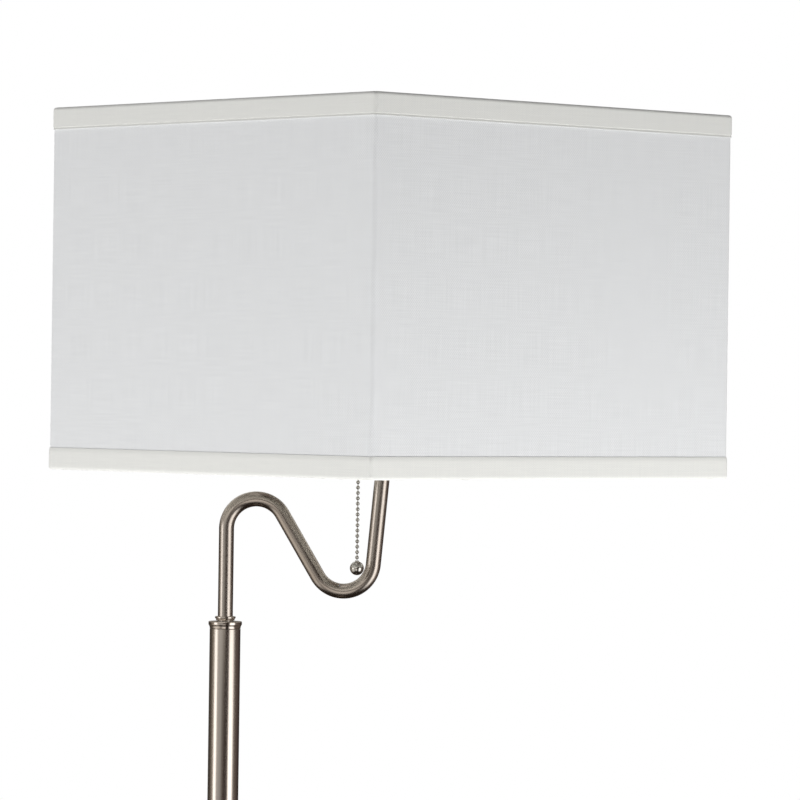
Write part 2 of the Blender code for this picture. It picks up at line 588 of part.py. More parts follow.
def build_shade(linen, styrene, tape, frame_metal, slide):
    """A linen and styrene box on two square wires, with tape folded over its edges and a spider in its top."""
    axis = pivot("shade_axis", (ARM_REACH, 0, SHADE_BOTTOM - POLE_TOP), slide, HEAD_TURN)
    half = SHADE_SIDE / 2
    linen_wall = 0.0006
    backing_wall = 0.0009
    skin = half - TAPE - GAP
    backing = skin - linen_wall - GAP
    inside = backing - backing_wall
    rim = TAPE + GAP
    corner = 0.0045
    square_band("shade_linen", wall_profile(skin, linen_wall, rim, SHADE_HEIGHT - rim, corner - TAPE), linen, axis)
    square_band("shade_backing", wall_profile(backing, backing_wall, rim, SHADE_HEIGHT - rim, corner - 0.0015),
                styrene, axis)
    run = inside - GAP - SHADE_WIRE
    fold = run - SHADE_WIRE - GAP
    top_level = SHADE_HEIGHT - rim - SHADE_WIRE
    bottom_level = rim + SHADE_WIRE
    for name, edge, up, inner_depth in (("tape_top", SHADE_HEIGHT, -1, SHADE_HEIGHT - top_level - 0.0004),
                                        ("tape_bottom", 0.0, 1, TRIM_FOLD)):
        outer_lip = edge + up * TRIM_HEIGHT
        inner_lip = edge + up * inner_depth
        under = edge + up * TAPE
        square_band(name,
                    [(half, outer_lip, corner), (half, edge, corner), (fold - TAPE, edge, 0.0020),
                     (fold - TAPE, inner_lip, 0.0020), (fold, inner_lip, 0.0020), (fold, under, 0.0020),
                     (half - TAPE, under, corner - TAPE), (half - TAPE, outer_lip, corner - TAPE)], tape, axis)

    corners = rounded_square(run, 0.0045)
    wire("bottom_wire", [(x, y, bottom_level) for x, y in corners], SHADE_WIRE, frame_metal, axis, closed=True)
    spider = meshed(wire("spider", [(x, y, top_level) for x, y in corners], SHADE_WIRE, frame_metal, axis,
                         closed=True))
    seat = ARM_TOP + HARP_SEAT_LIFT - SHADE_BOTTOM
    washer = turned("spider_washer", ring_outline(0.0036, 0.0135, seat, seat + 0.0014), frame_metal, axis)
    for k in range(4):
        turn = k * math.pi / 2
        arm = [(0.0120, seat + 0.0007), (0.080, seat + 0.0007), (run - 0.030, seat + 0.0030),
               (run - 0.012, seat + 0.0100), (run, top_level - 0.0004)]
        line = [(r * math.cos(turn), r * math.sin(turn), z) for r, z in arm]
        combine(spider, meshed(wire(f"spider_arm_{k}", line, 0.0013, frame_metal, axis, roundness=1)), "UNION")
    combine(spider, washer, "UNION")
    return seat + 0.0014


def build_finial(nickel, brass, seat, slide):
    """The knob that holds the shade down on the harp, with its threaded insert."""
    axis = pivot("finial_axis", (ARM_REACH, 0, SHADE_BOTTOM - POLE_TOP + seat + GAP), slide)
    turned("finial_insert", ring_outline(0.0034, 0.0050, 0.0002, 0.0100), brass, axis, segments=20)
    turned("finial",
           [(0.0053, 0.0), (0.0085, 0.0), (0.0088, 0.0012), (0.0070, 0.0028), (0.0062, 0.0050), (0.0075, 0.0080),
            (0.0080, 0.0110), (0.0074, 0.0145), (0.0056, 0.0170), (0.0030, 0.0182), (0, 0.0186), (0, 0.0160),
            (0.0034, 0.0155), (0.0053, 0.0103)][::-1], nickel, axis, segments=24)


def build_lamp():
    clear_scene()
    nickel = material("brushed_nickel", (0.52, 0.48, 0.45), 0.28, 1.0)
    chrome = material("polished_nickel", (0.72, 0.70, 0.67), 0.10, 1.0)
    steel = material("zinc_steel", (0.55, 0.56, 0.57), 0.35, 1.0)
    iron = material("cast_iron", (0.06, 0.06, 0.06), 0.75)
    brass = material("brass", (0.76, 0.58, 0.28), 0.25, 1.0)
    felt = material("black_felt", (0.03, 0.03, 0.03), 0.95)
    rubber = material("black_rubber", (0.03, 0.03, 0.03), 0.60)
    nylon = material("white_nylon", (0.80, 0.80, 0.77), 0.45)
    phenolic = material("black_phenolic", (0.04, 0.03, 0.03), 0.40)
    fibre = material("fibre_board", (0.35, 0.27, 0.18), 0.85)
    linen = material("white_linen", (0.84, 0.84, 0.83), 0.90)
    styrene = material("white_styrene", (0.86, 0.86, 0.84), 0.50)
    tape = material("linen_tape", (0.82, 0.83, 0.80), 0.90)
    glass = material("frosted_glass", (0.93, 0.93, 0.91), 0.30)

    build_base(nickel, iron, felt, steel, rubber)
    build_pole(nickel, steel)
    swivel = build_swivel(nickel, nylon)
    head = build_arm(nickel, nylon, steel, swivel)
    slide = head.parent
    build_saddle(steel, head)
    build_socket(nickel, steel, brass, phenolic, fibre, head)
    build_bell(nickel, head)
    build_lever(steel, head)
    build_harp(nickel, steel, head)
    build_bulb(glass, chrome, brass, head)
    build_chain(chrome, head)
    seat = build_shade(linen, styrene, tape, chrome, slide)
    build_finial(nickel, brass, seat, slide)


build_lamp()
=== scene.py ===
"""A pharmacy floor lamp dressed round its CAD frame: brushed nickel, a ball chain and a square linen shade."""

import math

import bpy
import numpy as np
from mathutils import Matrix, Vector


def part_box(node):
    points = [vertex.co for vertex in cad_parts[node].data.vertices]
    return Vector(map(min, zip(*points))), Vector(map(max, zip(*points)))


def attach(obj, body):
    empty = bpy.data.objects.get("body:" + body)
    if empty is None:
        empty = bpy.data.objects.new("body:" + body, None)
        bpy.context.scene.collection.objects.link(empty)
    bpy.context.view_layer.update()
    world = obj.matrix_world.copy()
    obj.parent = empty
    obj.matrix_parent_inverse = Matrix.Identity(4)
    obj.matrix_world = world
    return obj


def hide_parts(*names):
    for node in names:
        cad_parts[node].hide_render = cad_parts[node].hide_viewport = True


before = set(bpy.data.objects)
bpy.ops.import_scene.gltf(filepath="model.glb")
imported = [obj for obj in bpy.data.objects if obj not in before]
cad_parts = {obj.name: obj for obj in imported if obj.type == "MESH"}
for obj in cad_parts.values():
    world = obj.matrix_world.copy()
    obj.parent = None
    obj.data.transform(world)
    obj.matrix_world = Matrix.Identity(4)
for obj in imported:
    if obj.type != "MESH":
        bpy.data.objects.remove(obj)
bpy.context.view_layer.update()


# The camera stands 4 m off with a long lens, just below the middle of the shade, so that the shade shows
# its near corner and the sweep of its lower edge, and the pole runs out of the picture.

LENS = 220.6            # mm, on a sensor 36 mm wide
STAND_OFF = 4.123
BELOW_MIDDLE = 0.0793   # how far under the middle of the shade the lens is
ASIDE = 0.0102          # and how far to the right of the shade's axis
BEARING = math.radians(2.4)
DIP = math.radians(0.148)
LEVEL = math.radians(0.797)

shade_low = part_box("tape_bottom")[0]
shade_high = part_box("tape_top")[1]
shade_middle = (shade_low + shade_high) / 2

right = Vector((math.cos(BEARING), math.sin(BEARING), 0))
forward = Vector((-math.sin(BEARING), math.cos(BEARING), 0))
camera = bpy.data.objects.new("camera", bpy.data.cameras.new("camera"))
bpy.context.scene.collection.objects.link(camera)
camera.data.lens = LENS
camera.data.sensor_width = 36
camera.data.clip_end = 60
lens_at = shade_middle + ASIDE * right - STAND_OFF * forward - Vector((0, 0, BELOW_MIDDLE))
swing, tip, roll = (Matrix.Rotation(turn, 4, axis) for turn, axis in (
    (BEARING, "Z"), (math.pi / 2 - DIP, "X"), (LEVEL, "Z")))
aim = swing @ tip @ roll
camera.matrix_world = Matrix.Translation(lens_at) @ aim
bpy.context.scene.camera = camera


# The studio: a pale paper floor, softboxes to the left and right, a lower one in front, and a dim warm room that
# the metal mirrors between their windows. What the camera sees behind the lamp is white paper.

LAMP_HEAD = Vector((0.06, 0, 1.15))


def softbox(name, bearing, distance, height, width, tall, power):
    """A rectangular area light that faces the lamp's head. The bearing is from the camera's side, to the right.
    The metal doesn't mirror it, because it mirrors the room's windows instead."""
    light = bpy.data.lights.new(name, "AREA")
    light.shape = "RECTANGLE"
    light.size = width
    light.size_y = tall
    light.energy = power
    box = bpy.data.objects.new(name, light)
    bpy.context.scene.collection.objects.link(box)
    towards = Vector((math.sin(bearing + BEARING), -math.cos(bearing + BEARING), 0))
    box.location = Vector((LAMP_HEAD.x, LAMP_HEAD.y, height)) + distance * towards
    box.rotation_euler = (LAMP_HEAD - box.location).to_track_quat("-Z", "Y").to_euler()
    box.visible_glossy = False


softbox("left softbox", math.radians(-72), 2.2, 0.70, 0.9, 0.9, 19.3)
softbox("right softbox", math.radians(65), 1.4, 0.50, 0.6, 0.6, 10.2)
softbox("low front softbox", math.radians(0), 1.6, 0.30, 1.0, 0.5, 12.5)

room = bpy.data.worlds.new("room")
bpy.context.scene.world = room
room.use_nodes = True
tree = room.node_tree
tree.nodes.clear()


def paint(code, gain=1.0):
    """An sRGB hex colour as linear red, green, blue and alpha, brightened by the gain."""
    share = np.array([int(code[k:k + 2], 16) for k in (0, 2, 4)]) / 255
    linear = np.where(share <= 0.04045, share / 12.92, ((share + 0.055) / 1.055) ** 2.4)
    return (*(linear * gain), 1.0)


def feed(node, inputs):
    """Gives each named input of a node its value, or links it where it is given another node's output."""
    for key, value in inputs.items():
        if isinstance(value, bpy.types.NodeSocket):
            node.id_data.links.new(value, node.inputs[key])
        else:
            node.inputs[key].default_value = value


def add_node(tree, kind, inputs=None, stops=(), **settings):
    """Adds one shader node with its settings and what feeds it. Stops are the (position, colour) pairs of a
    ramp, from left to right."""
    node = tree.nodes.new("ShaderNode" + kind)
    for key, value in settings.items():
        setattr(node, key, value)
    for index, (position, colour) in enumerate(stops):
        elements = node.color_ramp.elements
        stop = elements[index] if index < 2 else elements.new(position)
        stop.position = position
        stop.color = colour
    feed(node, inputs or {})
    return node


def tones(codes, window=1.0):
    """The stops of a ramp from (position, hex colour) pairs, with white stops, which are windows, brightened."""
    return [(position, paint(code, window if code == "ffffff" else 1.0)) for position, code in codes]


direction = add_node(tree, "SeparateXYZ", {"Vector": add_node(tree, "TexCoord").outputs["Generated"]})
nearer = add_node(tree, "Math", {0: direction.outputs["Y"], 1: -1.0}, operation="MULTIPLY")
bearing = add_node(tree, "Math", {0: direction.outputs["X"], 1: nearer.outputs[0]}, operation="ARCTAN2")
# One share goes round from 0, behind, past 0.5, at the camera's side, to 1. The other goes from 0, straight
# down, to 1, straight up.
round_share = add_node(tree, "Math", {0: bearing.outputs[0], 1: 1 / (2 * math.pi), 2: 0.5},
                       operation="MULTIPLY_ADD").outputs[0]
up_share = add_node(tree, "Math", {0: direction.outputs["Z"], 1: 0.5, 2: 0.5},
                    operation="MULTIPLY_ADD").outputs[0]
level_ring = add_node(tree, "ValToRGB", {"Fac": round_share}, stops=tones([
    (0.000, "3e3b36"), (0.180, "3a3632"), (0.236, "716b62"), (0.280, "8a8680"), (0.296, "ffffff"),
    (0.342, "ffffff"), (0.361, "a4a2a0"), (0.389, "949392"), (0.450, "848584"), (0.478, "403a37"),
    (0.556, "302a28"), (0.595, "3c3733"), (0.615, "ffffff"), (0.692, "ffffff"), (0.712, "8c8a89"),
    (0.750, "5a524e"), (0.889, "312929"), (1.000, "3e3b36")], window=1.3)).outputs["Color"]
low_ring = add_node(tree, "ValToRGB", {"Fac": round_share}, stops=tones([
    (0.000, "37322e"), (0.200, "4a4540"), (0.270, "b4b0aa"), (0.370, "b4b0aa"), (0.420, "6c6864"),
    (0.460, "bcb8b4"), (0.508, "d0ccc8"), (0.530, "2a2522"), (0.580, "2a2522"), (0.620, "ffffff"),
    (0.690, "ffffff"), (0.730, "5a524e"), (1.000, "37322e")], window=1.2)).outputs["Color"]
high_ring = add_node(tree, "ValToRGB", {"Fac": round_share}, stops=tones([
    (0.000, "7a7672"), (0.330, "9a9894"), (0.480, "c4c2be"), (0.508, "c4c2be"), (0.530, "2a2522"),
    (0.580, "2a2522"), (0.620, "625b56"), (0.800, "57504c"), (1.000, "7a7672")])).outputs["Color"]
above = add_node(tree, "ValToRGB", {"Fac": up_share}, stops=tones([
    (0.515, "000000"), (0.57, "ffffff")])).outputs["Color"]
below = add_node(tree, "ValToRGB", {"Fac": up_share}, stops=tones([
    (0.10, "000000"), (0.22, "ffffff"), (0.395, "ffffff"), (0.45, "000000")])).outputs["Color"]
ground = add_node(tree, "ValToRGB", {"Fac": up_share}, stops=tones([
    (0.10, "ffffff"), (0.22, "000000")])).outputs["Color"]
fill = add_node(tree, "ValToRGB", {"Fac": up_share}, stops=tones([
    (0.45, "868686"), (0.62, "686868"), (0.78, "464646"), (0.90, "6e6e6e"), (1.0, "787878")])).outputs["Color"]
around = add_node(tree, "MixRGB", {"Fac": above, "Color1": level_ring, "Color2": high_ring}).outputs["Color"]
lower = add_node(tree, "MixRGB", {"Fac": below, "Color1": around, "Color2": low_ring}).outputs["Color"]
mirrored = add_node(tree, "MixRGB", {"Fac": ground, "Color1": lower, "Color2": paint("241e1a")}).outputs["Color"]
ray = add_node(tree, "LightPath").outputs
paper = add_node(tree, "Background", {"Color": (1, 1, 1, 1), "Strength": 1.0})
walls = add_node(tree, "Background", {"Color": mirrored, "Strength": 1.8})
soft = add_node(tree, "Background", {"Color": fill, "Strength": 1.0})
lit = add_node(tree, "MixShader", {"Fac": ray["Is Glossy Ray"], 1: soft.outputs[0], 2: walls.outputs[0]})
both = add_node(tree, "MixShader", {"Fac": ray["Is Camera Ray"], 1: lit.outputs[0], 2: paper.outputs[0]})
add_node(tree, "OutputWorld", {"Surface": both.outputs[0]})

bpy.context.scene.view_settings.view_transform = "Standard"


def finish_of(name, metallic, roughness):
    """A new material with one Principled shader, and its node tree and shader."""
    material = bpy.data.materials.new(name)
    material.use_nodes = True
    tree = material.node_tree
    shader = tree.nodes["Principled BSDF"]
    feed(shader, {"Metallic": metallic, "Roughness": roughness})
    return material, tree, shader


def seamless_paper():
    """Matt studio paper, which glows a little, as if lamps out of view lit it from above. Its tooth is too fine
    to show, so only a broad, faint unevenness is drawn."""
    material, tree, shader = finish_of("seamless paper", 0.0, 0.9)
    place = add_node(tree, "TexCoord").outputs["Object"]
    cloud = add_node(tree, "TexNoise", {"Vector": place, "Scale": 1.5, "Detail": 3.0})
    tone = add_node(tree, "ValToRGB", {"Fac": cloud.outputs["Fac"]},
                    stops=tones([(0.0, "b0b0ae"), (1.0, "babab8")]))
    feed(shader, {"Base Color": tone.outputs["Color"], "Emission Color": paint("ffffff"),
                  "Emission Strength": 0.55})
    return material


FLOOR_HALF = 7.0
floor_mesh = bpy.data.meshes.new("floor")
corners = np.array([(-1, -1, 0), (1, -1, 0), (1, 1, 0), (-1, 1, 0)]) * FLOOR_HALF
floor_mesh.from_pydata(corners.tolist(), [], [(0, 1, 2, 3)])
floor = bpy.data.objects.new("floor", floor_mesh)
bpy.context.scene.collection.objects.link(floor)
floor_mesh.materials.append(seamless_paper())
floor.visible_glossy = False


# The base: a pressed steel cover, brushed and nickel plated, over a cast iron weight, with a disc of black
# felt glued under both. A threaded rod, washer and nut draw the weight, cover and pole together.

def skin(name, rings, joined=False, ends=(None, None)):
    """A closed surface through rings of points, where rings[k, j] is point j round ring k, and each four
    neighbours make a face. Where joined, the last ring meets the first. Otherwise a fan of triangles closes each
    end on the point in ends, or on the ring's own middle. Its UV map is the distance round and along, in metres.
    Faces are turned round if the volume that they close comes out negative."""
    rings = np.asarray(rings, float)
    count, around = rings.shape[:2]
    last = count if joined else count - 1
    k, j = np.meshgrid(np.arange(last), np.arange(around), indexing="ij")
    up = (k + 1) % count
    on = (j + 1) % around
    quads = np.stack([k * around + j, k * around + on, up * around + on, up * around + j], -1).reshape(-1, 4)
    wide = rings[np.argmax(np.linalg.norm(np.ptp(rings, axis=1), axis=1))]
    steps_round = np.linalg.norm(np.roll(wide, -1, axis=0) - wide, axis=1)
    u = np.concatenate([[0], np.cumsum(steps_round)])
    steps_along = np.linalg.norm(np.roll(rings, -1, axis=0) - rings, axis=2).mean(axis=1)
    v = np.concatenate([[0], np.cumsum(steps_along)])
    flat = np.stack([u[[j, j + 1, j + 1, j]], v[[k, k, k + 1, k + 1]]], -1).transpose(1, 2, 0, 3)
    points = rings.reshape(-1, 3)
    faces = [quads]
    maps = [flat.reshape(-1, 2)]
    if not joined:
        turn = np.arange(around)
        for ring, point, flip in ((0, ends[0], True), (count - 1, ends[1], False)):
            middle = rings[ring].mean(axis=0) if point is None else np.array(point, float)
            hub = len(points)
            points = np.vstack([points, middle])
            rim = ring * around + turn
            rim_next = ring * around + (turn + 1) % around
            order = (rim_next, rim) if flip else (rim, rim_next)
            faces.append(np.stack([*order, np.full(around, hub)], -1))
            maps.append(points[faces[-1]][..., :2].reshape(-1, 2))
    triangles = np.vstack([quads[:, [0, 1, 2]], quads[:, [0, 2, 3]]] + faces[1:])
    a, b, c = points[triangles].transpose(1, 0, 2)
    inside_out = np.einsum("ij,ij->i", a, np.cross(b, c)).sum() < 0
    mesh = bpy.data.meshes.new(name)
    mesh.from_pydata(points.tolist(), [], [face for group in faces for face in group.tolist()])
    mesh.uv_layers.new(name="surface").data.foreach_set("uv", np.vstack(maps).astype(np.float32).ravel())
    if inside_out:
        mesh.flip_normals()
    mesh.shade_smooth()
    mesh.set_sharp_from_angle(angle=math.radians(32))
    piece = bpy.data.objects.new(name + "_skin", mesh)
    bpy.context.scene.collection.objects.link(piece)
    return piece


def rounded(outline, radius, closed, steps=5):
    """The outline with every corner eased: a curve leaves one side and meets the next the given distance from
    the corner c, along (1-t)^2 start + 2t(1-t) c + t^2 end. Open outlines keep their two end points."""
    outline = np.array(outline, float)
    before = np.roll(outline, 1, axis=0) - outline
    after = np.roll(outline, -1, axis=0) - outline
    share = [np.minimum(radius / np.maximum(np.linalg.norm(side, axis=1), 1e-9), 0.45)[:, None]
             for side in (before, after)]
    start = (outline + before * share[0])[:, None]
    end = (outline + after * share[1])[:, None]
    t = np.linspace(0, 1, steps + 1)[None, :, None]
    curves = (1 - t) ** 2 * start + 2 * t * (1 - t) * outline[:, None] + t ** 2 * end
    if closed:
        return curves.reshape(-1, 2)
    return np.vstack([outline[:1], curves[1:-1].reshape(-1, 2), outline[-1:]])


def turned(name, outline, at=(0, 0, 0), ease=0.0004, sides=96):
    """A lathe piece: each (radius, height) of the outline goes round as (r cos a, r sin a, h).
    An outline that starts and ends on the axis is solid, and any other is a ring."""
    solid = outline[0][0] == 0
    profile = rounded(outline, ease, closed=not solid)
    angle = np.arange(sides) * 2 * math.pi / sides
    radius, height = profile[:, :1], profile[:, 1:]
    rings = np.stack([radius * np.cos(angle), radius * np.sin(angle), height + 0 * angle], -1) + np.array(at)
    if not solid:
        return skin(name, rings, joined=True)
    return skin(name, rings[1:-1], ends=(rings[0, 0], rings[-1, 0]))


def fasten(piece, material, body, slot, *nodes):
    """Gives a piece its finish and its body, and hides the CAD nodes that it stands for. The slot is not used.
    """
    piece.data.materials.clear()
    piece.data.materials.append(material)
    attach(piece, body)
    if nodes:
        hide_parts(*nodes)
    return piece


def dress(material, *nodes):
    """Gives CAD nodes that are the right shape already their finish."""
    for name in nodes:
        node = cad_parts[name]
        node.data.materials.clear()
        node.data.materials.append(material)


def brushed_nickel(name, grain_round, grain_along, roughness=0.17, greys=("c1b7ad", "cec4ba")):
    """Steel plated with nickel, brushed with abrasive and lacquered: warm grey, with hair lines that run one
    way and widen the mirror images across it. The lines, about 0.1 mm in truth, are drawn 0.5 mm wide or more
    so that they show. The grain is in lines per metre round the piece and along it."""
    material, tree, shader = finish_of(name, 1.0, roughness)
    place = add_node(tree, "UVMap", uv_map="surface").outputs["UV"]
    fine = add_node(tree, "Mapping", {"Vector": place, "Scale": (grain_round, grain_along, 1.0)})
    lines = add_node(tree, "TexNoise", {"Vector": fine.outputs["Vector"], "Scale": 1.0, "Detail": 1.0})
    coarse = add_node(tree, "Mapping", {"Vector": place, "Scale": (grain_round / 4, grain_along / 3, 1.0)})
    drift = add_node(tree, "TexNoise", {"Vector": coarse.outputs["Vector"], "Scale": 1.0, "Detail": 2.0})
    tone = add_node(tree, "ValToRGB", {"Fac": lines.outputs["Fac"]},
                    stops=tones([(0.25, greys[0]), (0.75, greys[1])]))
    gloss = add_node(tree, "MapRange", {"Value": drift.outputs["Fac"], "From Min": 0.3, "From Max": 0.7,
                                        "To Min": roughness * 0.8, "To Max": roughness * 1.3})
    grain = add_node(tree, "Tangent", direction_type="UV_MAP", uv_map="surface")
    groove = add_node(tree, "Bump", {"Height": lines.outputs["Fac"], "Strength": 0.012, "Distance": 0.0001})
    feed(shader, {"Base Color": tone.outputs["Color"], "Roughness": gloss.outputs["Result"], "Anisotropic": 0.6,
                  "Anisotropic Rotation": 0.0 if grain_round > grain_along else 0.25,
                  "Tangent": grain.outputs["Tangent"], "Normal": groove.outputs["Normal"]})
    return material


def plain_finish(name, colours, metallic, roughness, grain, depth=0.0001):
    """A finish of two close colours that drift over grains of the given size in metres, with a matching bump."""
    material, tree, shader = finish_of(name, metallic, roughness)
    place = add_node(tree, "TexCoord").outputs["Object"]
    mottle = add_node(tree, "TexNoise", {"Vector": place, "Scale": 1 / grain, "Detail": 4.0,
                                         "Roughness": 0.6}).outputs["Fac"]
    tone = add_node(tree, "ValToRGB", {"Fac": mottle}, stops=tones([(0.3, colours[0]), (0.7, colours[1])]))
    gloss = add_node(tree, "MapRange", {"Value": mottle, "To Min": roughness * 0.85,
                                        "To Max": min(roughness * 1.15, 1.0)})
    rough = add_node(tree, "Bump", {"Height": mottle, "Strength": 0.5, "Distance": depth})
    feed(shader, {"Base Color": tone.outputs["Color"], "Roughness": gloss.outputs["Result"],
                  "Normal": rough.outputs["Normal"]})
    return material


drawn_nickel = brushed_nickel("brushed nickel, drawn", 1100, 12)
# The arm's nickel is the pole's plate given darker greys, a painted shade that makes its mirror images come out
# dimmer, and a higher roughness, which widens them.
darkened_arm_nickel = brushed_nickel("brushed nickel, arm, painted darker", 600, 12, 0.22, ("b4aaa0", "c0b6ac"))
spun_nickel = brushed_nickel("brushed nickel, spun", 10, 1200, roughness=0.14)
# Needle felt is a dull, fibrous black. The fibres, a few hundredths of a millimetre, are drawn as 1.2 mm tufts.
felt = plain_finish("needle felt, black", ("0e0e0f", "232325"), 0.0, 0.95, 0.0012, 0.0004)
# Sand-cast iron, painted: nearly black, with a pebbled skin of 3 mm grains.
iron = plain_finish("cast iron, black", ("18181a", "2b2b2c"), 0.0, 0.75, 0.003, 0.0005)
# Zinc plate on turned and punched steel: a cool, dull grey metal.
zinc = plain_finish("zinc plate", ("a3a6a8", "bcbec0"), 1.0, 0.35, 0.004)
# Moulded rubber: black with a faint sheen.
rubber = plain_finish("black rubber", ("121213", "1c1c1d"), 0.0, 0.55, 0.002)

cover_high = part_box("base_cover")[1]
RIM = cover_high.x
STEEL = 0.0012
dome = cover_high.z
shoulder = 0.0185
inner = RIM - STEEL
cover_outline = [
    (RIM, 0.001), (RIM, shoulder - 0.005), (RIM - 0.0015, shoulder - 0.0015), (RIM - 0.005, shoulder),
    (0.100, shoulder + 0.0024), (0.060, shoulder + 0.0056), (0.022, dome - 0.0003), (0.0053, dome),
    (0.0053, dome - STEEL), (0.022, dome - 0.0003 - STEEL), (0.060, shoulder + 0.0056 - STEEL),
    (0.100, shoulder + 0.0024 - STEEL), (RIM - 0.0055, shoulder - STEEL), (inner - 0.0013, shoulder - 0.0021),
    (inner, shoulder - 0.005), (inner, 0.001)]
cover = turned("base_cover", cover_outline, ease=0.0015, sides=256)
fasten(cover, spun_nickel, "stand", "brushed_nickel", "base_cover")
felt_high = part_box("base_felt")[1]
disc = turned("felt_disc", [(0, 0), (felt_high.x, 0), (felt_high.x, felt_high.z), (0, felt_high.z)], sides=192)
fasten(disc, felt, "stand", "black_felt", "base_felt")
dress(iron, "base_weight")
dress(zinc, "base_rod", "base_washer", "base_nut")
dress(rubber, "cord_grommet")


# The pole: two lengths of brushed tube screwed together over a short rod, standing in a turned foot and closed
# by a flanged cap, all nickel plated. The joint shows as a hair line.

TUBE_WALL = 0.0012
lower_low, lower_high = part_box("lower_pole")
upper_low, upper_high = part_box("upper_pole")
POLE_RADIUS = upper_high.x
pole_top = upper_high.z + 0.0003
for name, node, low, high in (("pole_lower_length", "lower_pole", lower_low.z, lower_high.z),
                              ("pole_upper_length", "upper_pole", upper_low.z, upper_high.z)):
    bore = POLE_RADIUS - TUBE_WALL
    length = turned(name, [(POLE_RADIUS, low), (POLE_RADIUS, high), (bore, high), (bore, low)], ease=0.0002)
    fasten(length, drawn_nickel, "stand", "brushed_nickel", node)

foot_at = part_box("pole_foot")[0].z
foot_outline = [
    (0.0052, 0), (0.0195, 0), (0.0195, 0.0028), (0.0185, 0.0038), (0.0165, 0.0052), (0.0152, 0.0078),
    (0.0149, 0.0120), (0.0142, 0.0127), (0.0133, 0.0127), (0.0133, 0.0077), (0.0052, 0.0077)]
foot = turned("pole_foot", foot_outline, at=(0, 0, foot_at), ease=0.0006)
fasten(foot, spun_nickel, "stand", "brushed_nickel", "pole_foot")

cap_outline = [
    (0.0078, -0.012), (0.0115, -0.012), (0.0115, 0.0), (0.01302, 0.0), (0.01306, 0.0010), (0.0134, 0.0022),
    (0.0140, 0.0032), (0.0141, 0.0036), (0.0141, 0.0055), (0.0138, 0.0060), (0.0078, 0.0060)]
cap = turned("pole_cap", cap_outline, at=(0, 0, pole_top), ease=0.00035)
fasten(cap, spun_nickel, "stand", "brushed_nickel", "pole_cap")
dress(zinc, "foot_plug", "lower_joint_plug", "upper_joint_plug", "joint_rod")


# The swivel: a small turned ring over a split nylon bush, which grips the stem and turns with it in the cap.

# Uncoloured nylon: waxy and off-white.
nylon = plain_finish("nylon, natural", ("d9d7cc", "e2e0d7"), 0.0, 0.45, 0.003)
collar_outline = [
    (0.0066, 0.0068), (0.0078, 0.0068), (0.0080, 0.0083), (0.0087, 0.0086), (0.0087, 0.0098), (0.0083, 0.0102),
    (0.0066, 0.0102)]
collar = turned("stem_collar", collar_outline, at=(0, 0, pole_top), ease=0.0002)
fasten(collar, spun_nickel, "swivel", "brushed_nickel", "stem_collar")
dress(nylon, "friction_bush", "stem_stop")


# The arm: one length of half-inch steel tube, bent over, down and up again on a mandrel, then nickel plated and
# brushed along its length. It slides and turns in the pole's cap.

ARM_RADIUS = 0.00635
ARM_WALL = 0.001
BEND_START = 1.1474
BEND_RADIUS = 0.0252
SLOPE = math.radians(59.5)
SLOPE_LENGTH = 0.0600
LEG_LEAN = math.radians(5.1)
TOP_BEND = 0.060
UPRIGHT_END = 0.0095


def bent_path(start, heading, runs, steps=40):
    """Points along a line bent in a plane. Each run is (length, turn), and is cut into equal chords. A chord
    runs along the heading at its middle, and is its arc's length times sinc(turn / 2 pi) of its own turn."""
    length = np.concatenate([np.full(steps, run / steps) for run, _ in runs])
    turn = np.concatenate([np.full(steps, bend / steps) for _, bend in runs])
    along = heading + np.cumsum(turn) - turn / 2
    chord = length * np.sinc(turn / (2 * math.pi))
    moves = np.stack([chord * np.cos(along), chord * np.sin(along)], -1)
    return np.vstack([start, start + np.cumsum(moves, axis=0)])


def tube_rings(path, radius, normal, closed=False, sides=48):
    """Circles round each point of a path that lies in a plane: p + r (cos a n + sin a (t x n)), with n the
    plane's normal and t the path's direction, which halves the bend at each point."""
    step = np.roll(path, -1, axis=0) - path
    step /= np.maximum(np.linalg.norm(step, axis=1, keepdims=True), 1e-12)
    if not closed:
        step[-1] = step[-2]
    previous = np.roll(step, 1, axis=0)
    if not closed:
        previous[0] = step[0]
    along = step + previous
    along /= np.linalg.norm(along, axis=1, keepdims=True)
    normal = np.array(normal, float)
    across = np.cross(along, normal)
    angle = np.arange(sides) * 2 * math.pi / sides
    radius = np.broadcast_to(radius, len(path))[:, None, None]
    circle = np.cos(angle)[None, :, None] * normal + np.sin(angle)[None, :, None] * across[:, None]
    return path[:, None] + radius * circle


def hollow(outer, inner):
    """The rings of a tube's outside and then of its inside the other way, which a joined skin closes."""
    return np.concatenate([outer, inner[::-1]])


arm_low, arm_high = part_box("arm_tube")
over = math.pi / 2 + SLOPE
back = over - LEG_LEAN
bends = [(BEND_START - arm_low.z, 0), (BEND_RADIUS * over, -over), (SLOPE_LENGTH, 0),
         (BEND_RADIUS * back, back)]
leg_start = bent_path(np.array([0, arm_low.z]), math.pi / 2, bends)[-1]
rise = arm_high.z - UPRIGHT_END - TOP_BEND * math.sin(LEG_LEAN) - leg_start[1]
bends += [(rise / math.cos(LEG_LEAN), 0), (TOP_BEND * LEG_LEAN, LEG_LEAN), (UPRIGHT_END, 0)]
flat_path = bent_path(np.array([0, arm_low.z]), math.pi / 2, bends)
arm_path = np.stack([flat_path[:, 0], 0 * flat_path[:, 0], flat_path[:, 1]], -1)
arm_rings = hollow(*(tube_rings(arm_path, radius, (0, 1, 0)) for radius in (ARM_RADIUS, ARM_RADIUS - ARM_WALL)))
arm = skin("arm_tube", arm_rings, joined=True)
fasten(arm, darkened_arm_nickel, "arm", "brushed_nickel", "arm_tube")


# The head of the arm: a threaded rod carries a check ring, the bent steel saddle of the harp, and its nut.
# The whole head stands turned by an eighth of a circle, so that the harp's plane misses the chain.

